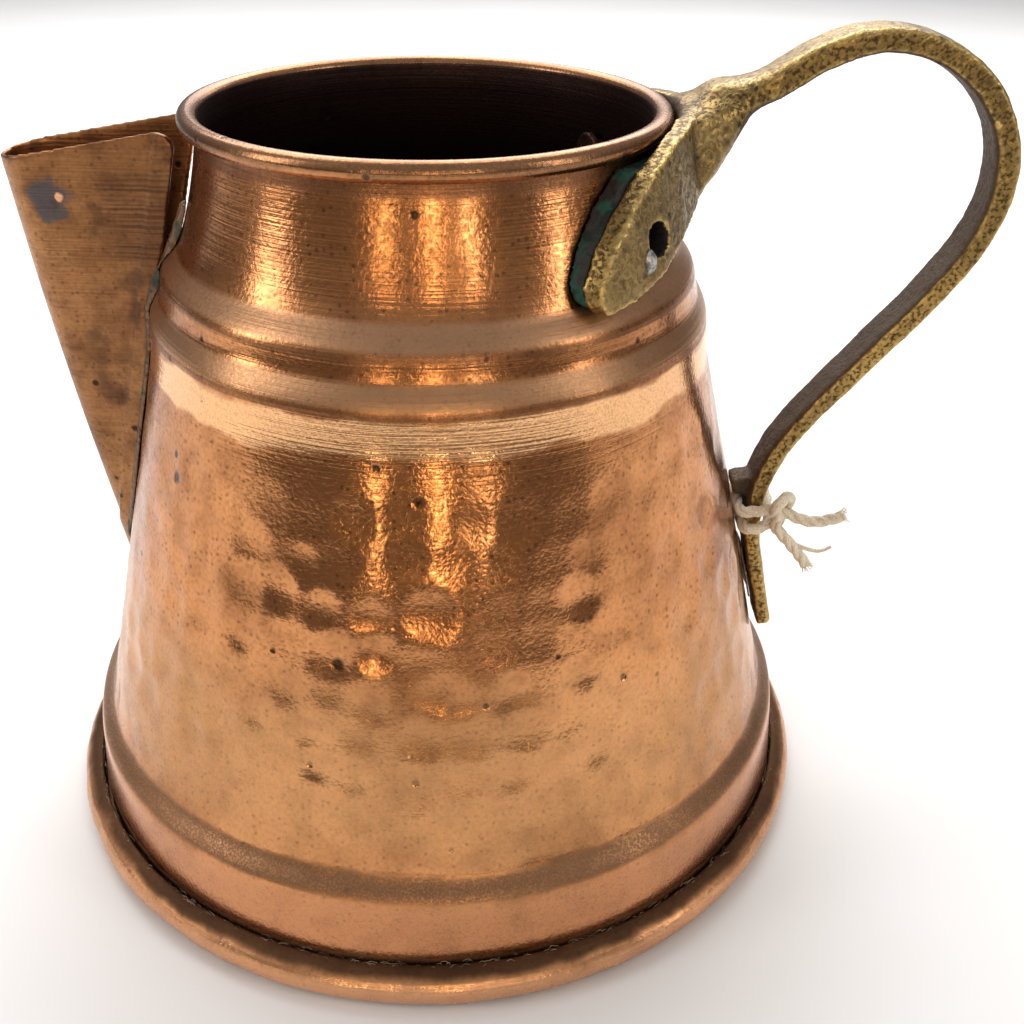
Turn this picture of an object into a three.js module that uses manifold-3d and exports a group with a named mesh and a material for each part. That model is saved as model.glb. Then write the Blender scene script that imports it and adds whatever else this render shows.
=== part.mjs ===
// Copper pouring jug: a spun copper body with a wired rim and two stepped bands, a base with
// a wired foot, a folded copper spout, a cast brass handle with two wings, and a tied string.
// Millimetres, +Z up. The origin is the middle of the underside, on the body's axis.
// +X points to the handle and -X to the spout.
import * as THREE from 'three';
import { mergeVertices } from 'three/addons/utils/BufferGeometryUtils.js';
import Module from 'manifold-3d';

const wasm = await Module();
wasm.setup();

// Driving dimensions
const SHEET = 0.6; // copper sheet
const GAP = 0.3; // clearance between touching pieces
const RINGS = 40; // facets round the axis
const CONE_BASE_R = 67.54; // body cone's radius, carried down to z = 0
const CONE_TAPER = 0.244; // radius lost for each millimetre of height
const FOOT = { r: 66.4, z: 3.6, tube: 3.6 }; // rolled foot
const FOOT_WIRE = { r: 67.65, z: 3.6, tube: 1.3 };
const RIM = { r: 36.45, z: 123.2, tube: 1.54 }; // rolled rim
const WALL_BOTTOM = SHEET + GAP; // body wall's lower edge, above the base
const SPOUT = { top: 121, noseTop: 115.8, noseX: 67.8, foot: 38, lean: 0.09, curve: 0.0006 };
const SPOUT_HALF = { top: 6.6, foot: 3.2 }; // half width of the trough
const STRAP_WIDTH = 8;
const WING = { r: 41.3, z: 124, taper: 0.176, turn: 28, thick: 2.9 }; // outer face of a wing
const RIVET = { side: -6.8, z: 111.6, hole: 2.4 };
const STRING = 1.9; // string diameter
const WRAP = { x0: 56.0, x1: 60.0, height: 5.8, middle: 53.6 }; // turns round the strap
const HEM_WIDTH = 3.2; // doubled edge of the spout
const BEAD = 1.6; // radius of the solder beside the spout
const RIVET_HEAD = { r: 4.2, inner: 3.5 };

const COLOUR = {
  copper: { color: 0xb4673f, metalness: 1, roughness: 0.35 },
  wire: { color: 0x5d5a55, metalness: 1, roughness: 0.5 },
  brass: { color: 0x8c7440, metalness: 1, roughness: 0.5 },
  solder: { color: 0x6c7068, metalness: 0.6, roughness: 0.7 },
  rivet: { color: 0x9a5a38, metalness: 1, roughness: 0.45 },
  cotton: { color: 0xdccfb4, metalness: 0, roughness: 0.95 },
};

const jug = new THREE.Group();

// ---------------------------------------------------------------- shared steps

function solid(geometry) {
  const bare = geometry.clone();
  bare.deleteAttribute('normal');
  bare.deleteAttribute('uv');
  const merged = mergeVertices(bare, 1e-4);
  return new wasm.Manifold(new wasm.Mesh({
    numProp: 3,
    vertProperties: new Float32Array(merged.attributes.position.array),
    triVerts: new Uint32Array(merged.index.array),
  }));
}

function geometryOf(manifold) {
  const mesh = manifold.getMesh();
  const geometry = new THREE.BufferGeometry();
  geometry.setAttribute('position', new THREE.BufferAttribute(mesh.vertProperties, 3));
  geometry.setIndex(new THREE.BufferAttribute(mesh.triVerts, 1));
  return geometry;
}

function addPiece(name, geometry, look) {
  const mesh = new THREE.Mesh(geometry, new THREE.MeshStandardMaterial(COLOUR[look]));
  mesh.name = name;
  jug.add(mesh);
}

// Turns a closed [radius, height] outline about +Z.
function turned(outline) {
  const points = outline.map(([r, z]) => new THREE.Vector2(r, z));
  points.push(points[0].clone());
  return new THREE.LatheGeometry(points, RINGS).rotateX(Math.PI / 2);
}

function circleOutline({ r, z, tube }, sides) {
  return Array.from({ length: sides }, (_, i) => {
    const a = (2 * Math.PI * i) / sides;
    return [r + tube * Math.cos(a), z + tube * Math.sin(a)];
  });
}

function arc(r, z, radius, fromDegrees, toDegrees, steps) {
  return Array.from({ length: steps + 1 }, (_, i) => {
    const a = THREE.MathUtils.degToRad(fromDegrees + ((toDegrees - fromDegrees) * i) / steps);
    return [r + radius * Math.cos(a), z + radius * Math.sin(a)];
  });
}

// Extrudes a flat outline along +Z by depth, starting at z = 0.
function plate(outline, depth) {
  const shape = new THREE.Shape(outline.map(([x, y]) => new THREE.Vector2(x, y)));
  return new THREE.ExtrudeGeometry(shape, { depth, bevelEnabled: false });
}

function coneRadius(z) {
  return CONE_BASE_R - CONE_TAPER * z;
}

// ---------------------------------------------------------------- body

// Outer face of the body from the foot to the neck, as [radius, height].
function bodyOuterFace() {
  return [
    [65.9, WALL_BOTTOM],
    [65.9, 7.4],
    [65.4, 13],
    [65.0, 18.2],
    [64.6, 19.4],
    [63.5, 20.5],
    [62.4, 21.5],
    [coneRadius(23), 23],
    [coneRadius(50), 50],
    [coneRadius(86), 86],
    [46.2, 88.5],
    [45.95, 91.4],
    [45.9, 92.6],
    [45.7, 93.3],
    [45.2, 94.4],
    [44.5, 95.6],
    [43.85, 96.5],
    [43.6, 97.4],
    [43.35, 99.0],
    [43.45, 99.6],
    [43.1, 100.4],
    [42.4, 101.4],
    [41.3, 102.6],
    [40.4, 103.6],
    [39.2, 106],
    [37.6, 111],
    [36.4, 116],
    [35.6, 120.5],
  ];
}

// Sheet thickness is taken inwards, square to each stretch of the outer face.
function innerFace(outer) {
  return outer.map(([r, z], i) => {
    const [r0, z0] = outer[Math.max(i - 1, 0)];
    const [r1, z1] = outer[Math.min(i + 1, outer.length - 1)];
    const along = Math.hypot(r1 - r0, z1 - z0);
    return [r - (SHEET * (z1 - z0)) / along, z + (SHEET * (r1 - r0)) / along];
  });
}

// A single tapered hole in the wall joins the jug to the spout.
function pourOpening() {
  const outline = [[-2.6, 62], [2.6, 62], [4.6, 106], [3.2, 109], [-3.2, 109], [-4.6, 106]];
  return plate(outline, 40).rotateX(Math.PI / 2).rotateZ(Math.PI / 2).translate(-70, 0, 0);
}

function wingDrill(side) {
  const drill = new THREE.CylinderGeometry(RIVET.hole, RIVET.hole, 30, 20);
  drill.rotateZ(Math.PI / 2).translate(40, side * RIVET.side, RIVET.z);
  return drill.rotateZ(side * THREE.MathUtils.degToRad(-WING.turn));
}

function body() {
  const outer = bodyOuterFace();
  const roll = arc(RIM.r, RIM.z, RIM.tube, 180, -108, 9);
  const rollInside = arc(RIM.r, RIM.z, RIM.tube - SHEET, 180, -108, 8);
  const outline = [...outer, ...rollInside, ...roll.reverse(), ...innerFace(outer).reverse()];
  return solid(turned(outline))
    .subtract(solid(pourOpening()))
    .subtract(solid(wingDrill(1)))
    .subtract(solid(wingDrill(-1)));
}

addPiece('body_shell', geometryOf(body()), 'copper');

const rimWire = { r: RIM.r, z: RIM.z, tube: RIM.tube - SHEET - GAP };
addPiece('rim_wire', turned(circleOutline(rimWire, 6)), 'wire');

// ---------------------------------------------------------------- base and foot

// The flat base turns up and over the foot wire and closes against the body's collar.
function base() {
  const { r, z, tube } = FOOT;
  const outside = arc(r, z, tube, -90, 90, 12);
  const inside = arc(r, z, tube - SHEET, 90, -90, 10);
  const outline = [[0, 0], ...outside, ...inside, [0, SHEET]];
  return turned(outline);
}

addPiece('base_plate', base(), 'copper');
addPiece('foot_wire', turned(circleOutline(FOOT_WIRE, 8)), 'wire');

// ---------------------------------------------------------------- spout

// The nose line leans in towards the body, a little faster near its foot.
function noseX(z) {
  const drop = SPOUT.noseTop - z;
  return -SPOUT.noseX + SPOUT.lean * drop + SPOUT.curve * drop * Math.abs(drop);
}

function spoutHalfWidth(z) {
  const t = (z - SPOUT.foot) / (SPOUT.top - SPOUT.foot);
  return THREE.MathUtils.lerp(SPOUT_HALF.foot, SPOUT_HALF.top, t);
}

// One level of the trough, a U in plan whose nose is a half circle. It runs to the body's axis.
function troughLevel(z, inset) {
  const half = spoutHalfWidth(z) - inset;
  const middle = noseX(z) + spoutHalfWidth(z);
  const nose = Array.from({ length: 9 }, (_, i) => {
    const a = Math.PI / 2 + (Math.PI * i) / 8;
    return [middle + half * Math.cos(a), half * Math.sin(a), z];
  });
  return [[-10, half, z], ...nose, [-10, -half, z]];
}

// Closed solid through a stack of levels of the same outline.
function lofted(levels) {
  const count = levels[0].length;
  const top = count * (levels.length - 1);
  const outline = levels[0].map(([x, y]) => new THREE.Vector2(x, y));
  const faces = [];
  for (const [a, b, c] of THREE.ShapeUtils.triangulateShape(outline, [])) {
    faces.push(a, c, b);
    faces.push(a + top, b + top, c + top);
  }
  for (let start = 0; start < top; start += count) {
    for (let i = 0; i < count; i += 1) {
      const a = start + i;
      const b = start + ((i + 1) % count);
      faces.push(a, b, b + count);
      faces.push(a, b + count, a + count);
    }
  }
  const geometry = new THREE.BufferGeometry();
  geometry.setAttribute('position', new THREE.Float32BufferAttribute(levels.flat(2), 3));
  geometry.setIndex(faces);
  return geometry;
}

function trough(inset, lowZ, highZ) {
  const heights = Array.from({ length: 7 }, (_, i) => lowZ + ((highZ - lowZ) * i) / 6);
  return solid(lofted(heights.map((z) => troughLevel(z, inset))));
}

// Straight-sided cone just clear of the body, which the spout's edges follow.
function conePlug(clearance, lowZ, highZ) {
  const low = [[0, lowZ], [coneRadius(lowZ) + clearance, lowZ]];
  const high = [[coneRadius(highZ) + clearance, highZ], [0, highZ]];
  return solid(turned([...low, ...high]));
}

// Everything above the slanting mouth of the spout.
function aboveMouth() {
  const rise = (SPOUT.top - SPOUT.noseTop) / (SPOUT.noseX - 38.5);
  const mouth = (x) => SPOUT.noseTop + rise * (x + SPOUT.noseX);
  const corner = [[-41, 0], [-39.6, 0.4], [-38.7, 1.3], [-38.3, 2.6], [0, 2.6]];
  const edge = corner.map(([x, drop]) => [x, mouth(-41) - drop]);
  const outline = [[-90, mouth(-90)], ...edge, [0, 160], [-90, 160]];
  return solid(plate(outline, 40).rotateX(Math.PI / 2).translate(0, 20, 0));
}

// The two free edges of the trough are doubled outwards into a hem.
function hem() {
  return trough(-SHEET, SPOUT.foot - 12, SPOUT.top + 6).intersect(conePlug(GAP + HEM_WIDTH, 30, 130));
}

function spout() {
  const lowZ = SPOUT.foot - 12;
  const highZ = SPOUT.top + 6;
  return trough(0, lowZ, highZ)
    .add(hem())
    .subtract(trough(SHEET, lowZ - 6, highZ + 6))
    .subtract(conePlug(GAP, 10, 140))
    .subtract(bodyPlug(GAP))
    .subtract(aboveMouth());
}

addPiece('pour_spout', geometryOf(spout()), 'copper');

// ---------------------------------------------------------------- solder along the spout

function outerRadius(z) {
  const face = bodyOuterFace();
  const i = Math.max(1, face.findIndex(([, height]) => height >= z));
  const [r0, z0] = face[i - 1];
  const [r1, z1] = face[i];
  return THREE.MathUtils.mapLinear(z, z0, z1, r0, r1);
}

function bodyPlug(clearance) {
  const face = bodyOuterFace().map(([r, z]) => [r + clearance, z]);
  return solid(turned([[0, WALL_BOTTOM], ...face, [0, 120.5]]));
}

function rod(points, radius, sides, steps) {
  const curve = new THREE.CatmullRomCurve3(points.map((p) => new THREE.Vector3(...p)));
  const section = Array.from({ length: sides }, (_, i) => {
    const a = (2 * Math.PI * i) / sides;
    return new THREE.Vector2(radius * Math.cos(a), radius * Math.sin(a));
  });
  const shape = new THREE.Shape(section);
  return new THREE.ExtrudeGeometry(shape, { extrudePath: curve, steps, bevelEnabled: false });
}

// A bead laid in the corner between the body and one edge of the spout.
function spoutBead(side) {
  const heights = [48, 60, 74, 86, 93, 98, 103, 110];
  const line = heights.map((z) => {
    const y = spoutHalfWidth(z) + SHEET + BEAD;
    const r = outerRadius(z) - 0.4;
    return [-Math.sqrt(r * r - y * y), side * y, z];
  });
  return solid(rod(line, BEAD, 10, 20))
    .subtract(bodyPlug(GAP))
    .subtract(trough(-SHEET - GAP, 20, 140));
}

addPiece('spout_solder_near', geometryOf(spoutBead(-1)), 'solder');
addPiece('spout_solder_far', geometryOf(spoutBead(1)), 'solder');

// ---------------------------------------------------------------- handle

const TAIL_GAP = 0.95; // between the tail and the body, part filled with solder

// Middle line of the strap, from the knuckle over the loop and down the body, as [x, z].
function strapLine() {
  const loop = [
    [46.2, 125.4],
    [52.5, 128.1],
    [60.5, 132.8],
    [68, 134.9],
    [76, 133.7],
    [83.5, 129.2],
    [88.7, 121.6],
    [90, 113],
    [88, 104.8],
    [82.8, 96],
    [75, 85.8],
    [65, 72.8],
    [60.5, 65.5],
    [58.5, 59.5],
    [58.0, 55],
    [57.9, 50.5],
  ];
  const tail = [42, 35, 29].map((z) => [coneRadius(z) + TAIL_GAP + 1.3, z]);
  return [...loop, ...tail];
}

// Thickest at the root, thinnest where the strap turns down into the tail.
function strapThickness(t) {
  const root = 1.1 * Math.max(0, 1 - t / 0.16);
  return 2.7 + 1.1 * Math.sin(Math.PI * (0.25 + 0.75 * t)) + root;
}

function strap() {
  const line = new THREE.CatmullRomCurve3(strapLine().map(([x, z]) => new THREE.Vector3(x, 0, z)));
  const steps = 44;
  const outside = [];
  const inside = [];
  for (let i = 0; i <= steps; i += 1) {
    const t = i / steps;
    const p = line.getPointAt(t);
    const along = line.getTangentAt(t);
    const half = strapThickness(t) / 2;
    outside.push([p.x - along.z * half, p.z + along.x * half]);
    inside.push([p.x + along.z * half, p.z - along.x * half]);
  }
  const shape = new THREE.Shape([...outside, ...inside.reverse()].map(([x, z]) => new THREE.Vector2(x, z)));
  const bevel = 0.5;
  const geometry = new THREE.ExtrudeGeometry(shape, {
    depth: STRAP_WIDTH - 2 * bevel,
    bevelThickness: bevel,
    bevelSize: bevel,
    bevelOffset: -bevel,
    bevelSegments: 1,
  });
  return solid(geometry.rotateX(Math.PI / 2).translate(0, STRAP_WIDTH / 2 - bevel, 0));
}

function wingRadius(z) {
  return WING.r + (WING.z - z) * WING.taper;
}

// Leaf outline of a wing seen square to its middle: distance round, height.
function leafOutline(side) {
  const leaf = [
    [20.2, 125.4],
    [11.0, 124.6],
    [1.0, 123.4],
    [-6.8, 120.5],
    [-12.3, 116.5],
    [-16.4, 111.8],
    [-19.0, 107.4],
    [-19.2, 105.0],
    [-18.2, 103.4],
    [-15.2, 103.8],
    [-9.7, 105.3],
    [-5.1, 107.0],
    [-0.5, 109.2],
    [4, 111.2],
    [10, 113.2],
    [20.5, 115.5],
  ];
  return leaf.map(([u, z]) => [side * u, z]);
}

function leafPrism(side, outline) {
  const prism = plate(outline, 45).rotateX(Math.PI / 2).rotateZ(Math.PI / 2);
  return solid(prism.translate(15, 0, 0).rotateZ(side * THREE.MathUtils.degToRad(-WING.turn)));
}

function wing(side) {
  const low = 100;
  const high = 130;
  const band = [
    [wingRadius(low) - WING.thick, low],
    [wingRadius(low), low],
    [wingRadius(high), high],
    [wingRadius(high) - WING.thick, high],
  ];
  return solid(turned(band))
    .intersect(leafPrism(side, leafOutline(side)))
    .subtract(solid(wingDrill(side)));
}

// The lump where the strap bends down onto the wings, seen from the side as [x, z].
function knuckle() {
  const width = 9;
  const outline = [
    [40.9, 110.2],
    [40.8, 125.4],
    [42.2, 127.3],
    [44.7, 128.7],
    [48.1, 128.5],
    [53.2, 130.0],
    [52.7, 125.9],
    [48.8, 123.6],
    [46.4, 120.8],
    [44.9, 116.8],
    [43.9, 113.6],
    [43.2, 110.4],
  ];
  return solid(plate(outline, width).rotateX(Math.PI / 2).translate(0, width / 2, 0));
}

// The knuckle's side runs out in a slope onto the wing beside it.
function flare(side) {
  const low = 114;
  const high = 123.4;
  const azimuth = side * THREE.MathUtils.degToRad(-15);
  const onWing = (z, deep) => {
    const r = wingRadius(z) - deep;
    return [r * Math.cos(azimuth), r * Math.sin(azimuth), z];
  };
  const onKnuckle = (x, y, z) => [x, -side * y, z];
  return wasm.Manifold.hull([
    onKnuckle(50.5, 4.3, 128.2),
    onKnuckle(50.5, 4.3, 125.2),
    onKnuckle(46.0, 4.3, 119.6),
    onKnuckle(44.2, 4.3, 113.8),
    onKnuckle(42.0, 4.3, 126.6),
    onKnuckle(41.2, 2, 125.6),
    onKnuckle(41.2, 2, 114),
    onWing(high, 0),
    onWing(low, 0),
    onWing(high, 2.5),
    onWing(low, 2.5),
  ]);
}

// Short boss that stands the strap off the body, just above the string.
function boss() {
  const outline = [[52, 56.9], [57.6, 56.9], [57.8, 60.6], [55.6, 60.3], [52, 59.4]];
  const block = solid(plate(outline, 5).rotateX(Math.PI / 2).translate(0, 2.5, 0));
  return block.subtract(conePlug(GAP + 0.1, 40, 80));
}

function handle() {
  return strap()
    .add(wing(1))
    .add(wing(-1))
    .add(knuckle())
    .add(flare(1))
    .add(flare(-1))
    .add(boss());
}

addPiece('handle', geometryOf(handle()), 'brass');

// Solder fills the wedge between a wing and the narrower neck behind it.
function wingBed(side) {
  const heights = [104, 107, 112, 116, 120.4];
  const front = heights.map((z) => [wingRadius(z) - WING.thick - GAP, z]);
  const back = [...heights].reverse().map((z) => [outerRadius(z) + GAP, z]);
  const outline = leafOutline(side).map(([u, z]) => [u * 0.97, z]);
  const middle = new THREE.BoxGeometry(60, 14, 60).translate(40, 0, 112);
  return solid(turned([...front, ...back]))
    .intersect(leafPrism(side, outline))
    .subtract(solid(wingDrill(side)))
    .subtract(solid(middle));
}

addPiece('wing_solder_near', geometryOf(wingBed(1)), 'solder');
addPiece('wing_solder_far', geometryOf(wingBed(-1)), 'solder');

// The far wing keeps its rivet: round head outside, flat head inside the neck.
function wingRivet() {
  const shank = RIVET.hole - GAP;
  const section = [
    [0, 32.6],
    [RIVET_HEAD.inner, 32.6],
    [RIVET_HEAD.inner, 33.8],
    [shank, 33.8],
    [shank, 44.4],
    [RIVET_HEAD.r, 44.4],
    [3.9, 45.3],
    [2.6, 46.2],
    [0, 46.6],
  ];
  const points = section.map(([r, y]) => new THREE.Vector2(r, y));
  const rivet = new THREE.LatheGeometry([...points, points[0].clone()], 20).rotateZ(-Math.PI / 2);
  return rivet.translate(0, -RIVET.side, RIVET.z).rotateZ(THREE.MathUtils.degToRad(WING.turn));
}

addPiece('wing_rivet_far', wingRivet(), 'rivet');

function tailSolder() {
  const face = (extra) => [[coneRadius(35) + extra, 35], [coneRadius(46) + extra, 46]];
  const pad = [...face(TAIL_GAP - GAP - 0.05), ...face(GAP).reverse()];
  const strip = new THREE.BoxGeometry(60, STRAP_WIDTH - 1.6, 25).translate(50, 0, 42.5);
  return solid(turned(pad)).intersect(solid(strip));
}

addPiece('tail_solder', geometryOf(tailSolder()), 'solder');

// ---------------------------------------------------------------- string

// Two turns round the strap as one closed band, pinched between the strap and the body.
function stringWrap() {
  const inner = { ...WRAP, y: STRAP_WIDTH / 2 + GAP };
  const ring = (grow) => [
    [inner.x0 - grow, -inner.y - grow],
    [inner.x1 + grow, -inner.y - grow],
    [inner.x1 + grow, inner.y + grow],
    [inner.x0 - grow, inner.y + grow],
  ];
  const shape = new THREE.Shape(ring(STRING).map(([x, y]) => new THREE.Vector2(x, y)));
  shape.holes.push(new THREE.Path(ring(0).map(([x, y]) => new THREE.Vector2(x, y))));
  const band = new THREE.ExtrudeGeometry(shape, { depth: WRAP.height, bevelEnabled: false });
  band.translate(0, 0, WRAP.middle - WRAP.height / 2);
  return solid(band).subtract(conePlug(GAP + 0.1, 30, 90));
}

addPiece('string_wrap', geometryOf(stringWrap()), 'cotton');

const KNOT = [61.9, -5.4, 59.1];
addPiece('string_knot', new THREE.SphereGeometry(2.1, 14, 10).translate(...KNOT), 'cotton');

const STRING_ENDS = {
  string_end_long: [[64.4, -6.4, 55.4], [66.1, -7.2, 54.3], [70.3, -8.3, 55.9], [72.4, -8.6, 56.6]],
  string_end_short: [[62.7, -7.3, 51.0], [64.2, -7.5, 49.8], [65.9, -7.9, 47.8], [67.8, -8.2, 45.5]],
};
for (const [name, route] of Object.entries(STRING_ENDS)) {
  addPiece(name, rod(route, STRING / 2, 8, 6), 'cotton');
}

export default jug;
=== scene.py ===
import math
import random

import bmesh
import bpy
from mathutils import Matrix, Vector, noise


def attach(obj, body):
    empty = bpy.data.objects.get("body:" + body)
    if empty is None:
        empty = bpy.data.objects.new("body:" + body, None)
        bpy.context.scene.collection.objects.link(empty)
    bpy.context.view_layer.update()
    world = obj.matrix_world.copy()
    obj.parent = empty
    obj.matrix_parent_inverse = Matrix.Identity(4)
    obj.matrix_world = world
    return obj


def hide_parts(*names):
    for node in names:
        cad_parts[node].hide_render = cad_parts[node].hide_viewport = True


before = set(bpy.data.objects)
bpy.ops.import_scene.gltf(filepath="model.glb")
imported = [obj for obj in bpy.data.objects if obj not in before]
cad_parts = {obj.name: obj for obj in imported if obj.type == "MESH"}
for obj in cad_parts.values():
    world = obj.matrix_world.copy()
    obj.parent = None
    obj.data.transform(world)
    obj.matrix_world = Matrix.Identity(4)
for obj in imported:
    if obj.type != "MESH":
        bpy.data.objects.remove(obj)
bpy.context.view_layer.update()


# ------------------------------------------------------------------ camera, table and light
# The jug stands on a plain pale table top and is seen from close by, a little above the rim.
# Large soft lamps stand round it, and three narrow ones in front draw the gleams on the neck.

MM = 0.001
EYE = Vector((16.62, -189.96, 164.40)) * MM
AHEAD = Vector((-0.01214, 0.85816, -0.51323)).normalized()
ROLL = 0.01427
LENS, SENSOR = 41.81, 36

level_right = AHEAD.cross(Vector((0, 0, 1))).normalized()
level_up = level_right.cross(AHEAD)
camera_right = level_right * math.cos(ROLL) + level_up * math.sin(ROLL)
camera_up = camera_right.cross(AHEAD)
camera_data = bpy.data.cameras.new("camera")
camera_data.sensor_width = SENSOR
camera_data.lens = LENS
camera_data.clip_start = 0.005
camera = bpy.data.objects.new("camera", camera_data)
camera.matrix_world = Matrix.Translation(EYE) @ Matrix(
    (camera_right, camera_up, -AHEAD)
).transposed().to_4x4()
bpy.context.collection.objects.link(camera)
bpy.context.scene.camera = camera


def softbox(name, place, aim, size, watts, colour=(1, 1, 1)):
    """A rectangular lamp of size (width, height) at place, turned to aim, all in metres."""
    lamp = bpy.data.lights.new(name, "AREA")
    lamp.shape = "RECTANGLE"
    lamp.size, lamp.size_y = size
    lamp.energy = watts
    lamp.color = colour
    holder = bpy.data.objects.new(name, lamp)
    holder.location = place
    holder.rotation_euler = (Vector(aim) - Vector(place)).to_track_quat("-Z", "Y").to_euler()
    bpy.context.collection.objects.link(holder)


MIDDLE = (0, 0, 0.07)
softbox("lamp_above", (-0.1, 0.5, 0.8), MIDDLE, (1.0, 0.7), 9)
softbox("lamp_left", (-0.8, -0.3, 0.45), MIDDLE, (0.25, 0.6), 2.2, (1, 0.97, 0.94))
softbox("lamp_right", (0.75, -0.35, 0.4), MIDDLE, (0.12, 0.6), 1.3, (1, 0.96, 0.9))
softbox("lamp_front", (0.1, -0.95, 0.2), MIDDLE, (0.045, 0.4), 0.75, (1, 0.78, 0.50))
softbox("lamp_front_left", (-0.26, -0.9, 0.2), MIDDLE, (0.035, 0.4), 0.6, (1, 0.82, 0.55))
softbox("lamp_front_right", (0.36, -0.9, 0.22), MIDDLE, (0.05, 0.4), 0.6, (1, 0.86, 0.66))
softbox("lamp_back", (0.1, 0.9, 0.6), MIDDLE, (0.9, 0.5), 3.5)

room = bpy.data.worlds.new("room")
room.use_nodes = True
bpy.context.scene.world = room
bpy.context.scene.view_settings.view_transform = "Standard"


def put(tree, kind, sockets=None, **settings):
    """Adds a node. sockets gives each named input a value or the output that feeds it."""
    made = tree.nodes.new(kind)
    for name, value in settings.items():
        setattr(made, name, value)
    for name, value in (sockets or {}).items():
        if isinstance(value, bpy.types.NodeSocket):
            tree.links.new(value, made.inputs[name])
        else:
            made.inputs[name].default_value = value
    return made


def blend_colours(tree, mask, under, over):
    """The colour under, with over laid on it where mask is 1."""
    mixer = put(tree, "ShaderNodeMix", {0: mask, 6: under, 7: over}, data_type="RGBA")
    return mixer.outputs[2]


def combine(tree, operation, first, second, clamp=False):
    """One arithmetic node on two values, such as ADD or MULTIPLY."""
    made = put(tree, "ShaderNodeMath", {0: first, 1: second}, operation=operation)
    made.use_clamp = clamp
    return made.outputs[0]


def stretch(tree, value, low, high, to_low=0.0, to_high=1.0):
    """value carried from low..high to to_low..to_high with soft ends."""
    sockets = {"Value": value, "From Min": low, "From Max": high}
    sockets.update({"To Min": to_low, "To Max": to_high})
    return put(tree, "ShaderNodeMapRange", sockets, interpolation_type="SMOOTHSTEP").outputs[0]


def surface(name, **constants):
    """A new material: its node tree and its Principled shader, with the constants set on it."""
    material = bpy.data.materials.new(name)
    material.use_nodes = True
    shader = material.node_tree.nodes["Principled BSDF"]
    for socket, value in constants.items():
        shader.inputs[socket.replace("_", " ")].default_value = value
    return material, material.node_tree, shader


def new_group(name, inputs, outputs):
    """A shader node group with float inputs {name: usual value}, and its named outputs."""
    group = bpy.data.node_groups.new(name, "ShaderNodeTree")
    for socket, value in inputs.items():
        made = group.interface.new_socket(socket, in_out="INPUT", socket_type="NodeSocketFloat")
        made.default_value = value
    for socket in outputs:
        group.interface.new_socket(socket, in_out="OUTPUT", socket_type="NodeSocketFloat")
    start = group.nodes.new("NodeGroupInput").outputs
    return group, start, group.nodes.new("NodeGroupOutput").inputs


def use_group(tree, group, **values):
    """Places a group in a material with its own values; underscores stand for spaces."""
    sockets = {name.replace("_", " "): value for name, value in values.items()}
    made = put(tree, "ShaderNodeGroup", node_tree=group)
    for name, value in sockets.items():
        if isinstance(value, bpy.types.NodeSocket):
            tree.links.new(value, made.inputs[name])
        else:
            made.inputs[name].default_value = value
    return made.outputs


# The room is dim and warm near the floor line and pale overhead. The jug stands near the front
# edge of the table, so its upper half mirrors the dim room and its lower half the table.
DIM_WALL, PALE_CEILING = (0.23, 0.195, 0.175, 1), (0.72, 0.73, 0.76, 1)
tree = room.node_tree
sky = put(tree, "ShaderNodeTexCoord").outputs["Generated"]
up = put(tree, "ShaderNodeSeparateXYZ", {0: sky}).outputs[2]
sky_colour = blend_colours(tree, stretch(tree, up, -0.05, 0.75), DIM_WALL, PALE_CEILING)
tree.links.new(sky_colour, tree.nodes["Background"].inputs["Color"])
tree.nodes["Background"].inputs["Strength"].default_value = 0.75

# Clouds of stain on any metal or cloth: Size is how many fit in a metre.
blotches, given, result = new_group(
    "blotches", {"Size": 60.0, "Detail": 3.0, "Low": 0.4, "High": 0.6}, ["Mask"]
)
place = blotches.nodes.new("ShaderNodeTexCoord").outputs["Object"]
cloud = put(
    blotches,
    "ShaderNodeTexNoise",
    {"Vector": place, "Scale": given["Size"], "Detail": given["Detail"]},
)
blotches.links.new(
    stretch(blotches, cloud.outputs["Fac"], given["Low"], given["High"]), result["Mask"]
)

TABLE_HALF = 3.0
TABLE_EDGE = -0.3  # the table's front edge, on the near side of the jug
table_mesh = bpy.data.meshes.new("table_top")
table_top = bmesh.new()
bmesh.ops.create_grid(table_top, x_segments=8, y_segments=8, size=TABLE_HALF)
table_top.to_mesh(table_mesh)
table = bpy.data.objects.new("table_top", table_mesh)
table.location = (0, TABLE_HALF + TABLE_EDGE, 0)
bpy.context.collection.objects.link(table)
table_finish, tree, shader = surface("table_paint", Roughness=0.75)
paint = use_group(tree, blotches, Size=9.0, Low=0.3, High=0.7)["Mask"]
tree.links.new(
    blend_colours(tree, paint, (0.80, 0.79, 0.77, 1), (0.83, 0.82, 0.81, 1)),
    shader.inputs["Base Color"],
)
table_mesh.materials.append(table_finish)


# ------------------------------------------------------------------ string
# One length of soft three-strand cotton twine, 1.9 mm thick, tied twice round the handle's
# strap just above its tail. Both cut ends stick out to the near side and have frayed.

STRANDS = 3
STRAND_LAY = 6.0  # length of one full twist
STRAND_RADIUS, STRAND_OFFSET = 0.64, 0.45
TWINE_STEP = 0.45  # from one ring of the mesh to the next

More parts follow.
